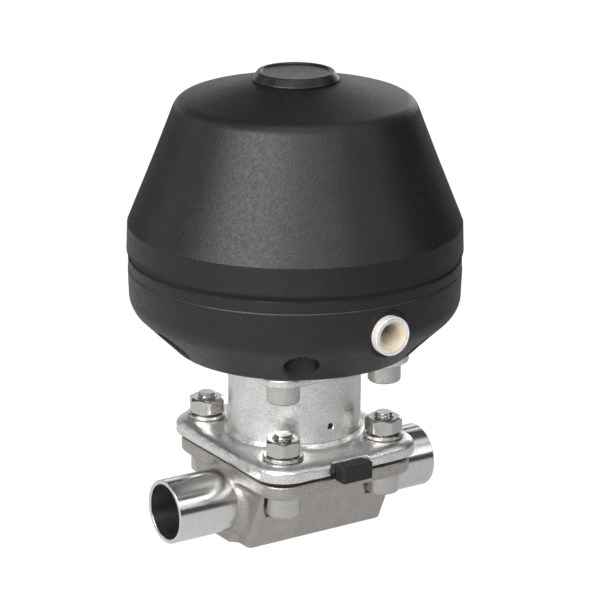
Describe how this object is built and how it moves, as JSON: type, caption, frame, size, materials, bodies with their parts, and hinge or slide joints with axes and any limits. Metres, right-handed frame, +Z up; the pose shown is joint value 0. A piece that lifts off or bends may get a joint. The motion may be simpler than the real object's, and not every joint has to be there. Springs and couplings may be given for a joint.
{
  "type": "pneumatic diaphragm valve",
  "caption": "Weir diaphragm valve with butt-weld tube ends, cast distance piece and domed spring-to-close membrane actuator.",
  "frame": {"origin": "centre of the flat foot under the valve body", "axes": "+X along the pipe, -Y the side with the air port and grip tab, +Z up the stem"},
  "size_m": [0.1318, 0.1339, 0.1858],
  "materials": {
    "body_steel": "satin, blasted block and ground tube ends",
    "cast_stainless": "bead-blasted casting",
    "fastener_steel": "bright stainless",
    "bright_steel": "ground",
    "plate_steel": "pressed sheet, satin",
    "spring_steel": "dark coated wire, satin",
    "brass_insert": "turned",
    "diaphragm_rubber": "matt moulded rubber",
    "membrane_rubber": "fabric-reinforced rubber, matt",
    "seal_rubber": "smooth rubber",
    "lower_plastic": "glass-filled plastic, fine texture",
    "upper_plastic": "glass-filled plastic, fine texture",
    "cap_plastic": "moulded plastic, fine texture",
    "port_polymer": "pale collar round a tan threaded bore",
    "port_gasket": "flat tan seal ring",
    "bushing_polymer": "bearing plastic",
    "indicator_red": "glossy signal colour"
  },
  "bodies": {
    "valve": {"valve_body": "body_steel", "valve_diaphragm": "diaphragm_rubber", "bonnet": "cast_stainless", "body_screws": "fastener_steel", "body_washers": "fastener_steel", "body_nuts": "fastener_steel", "actuator_screws": "fastener_steel", "actuator_inserts": "brass_insert", "stem_bushing": "bushing_polymer", "stem_seal": "seal_rubber", "stem_wiper": "seal_rubber", "bonnet_seal": "seal_rubber", "lower_housing": "lower_plastic", "upper_housing": "upper_plastic", "actuator_membrane": "membrane_rubber", "outer_spring": "spring_steel", "inner_spring": "spring_steel", "spring_seat": "plate_steel", "housing_screws": "fastener_steel", "housing_inserts": "brass_insert", "air_port_insert": "port_polymer", "air_port_seal": "port_gasket"},
    "stem_drive": {"diaphragm_stud": "bright_steel", "compressor": "bright_steel", "compressor_pin": "bright_steel", "stem": "bright_steel", "lower_plate": "plate_steel", "upper_plate": "plate_steel", "stem_washer": "fastener_steel", "stem_nut": "fastener_steel", "indicator_rod": "indicator_red"},
    "cap": {"top_cap": "cap_plastic", "cap_seal": "seal_rubber"}
  },
  "joints": [
    {"name": "stem_lift", "type": "slide", "parent": "valve", "child": "stem_drive", "axis": [0, 0, 1], "range_m": [0, 0.009], "stiffness_N_per_m": 24000, "springref_m": -0.004, "deforming": ["outer_spring", "inner_spring", "actuator_membrane", "valve_diaphragm"]},
    {"name": "cap_lift", "type": "slide", "parent": "valve", "child": "cap", "axis": [0, 0, 1], "range_m": [0, 0.018]}
  ]
}
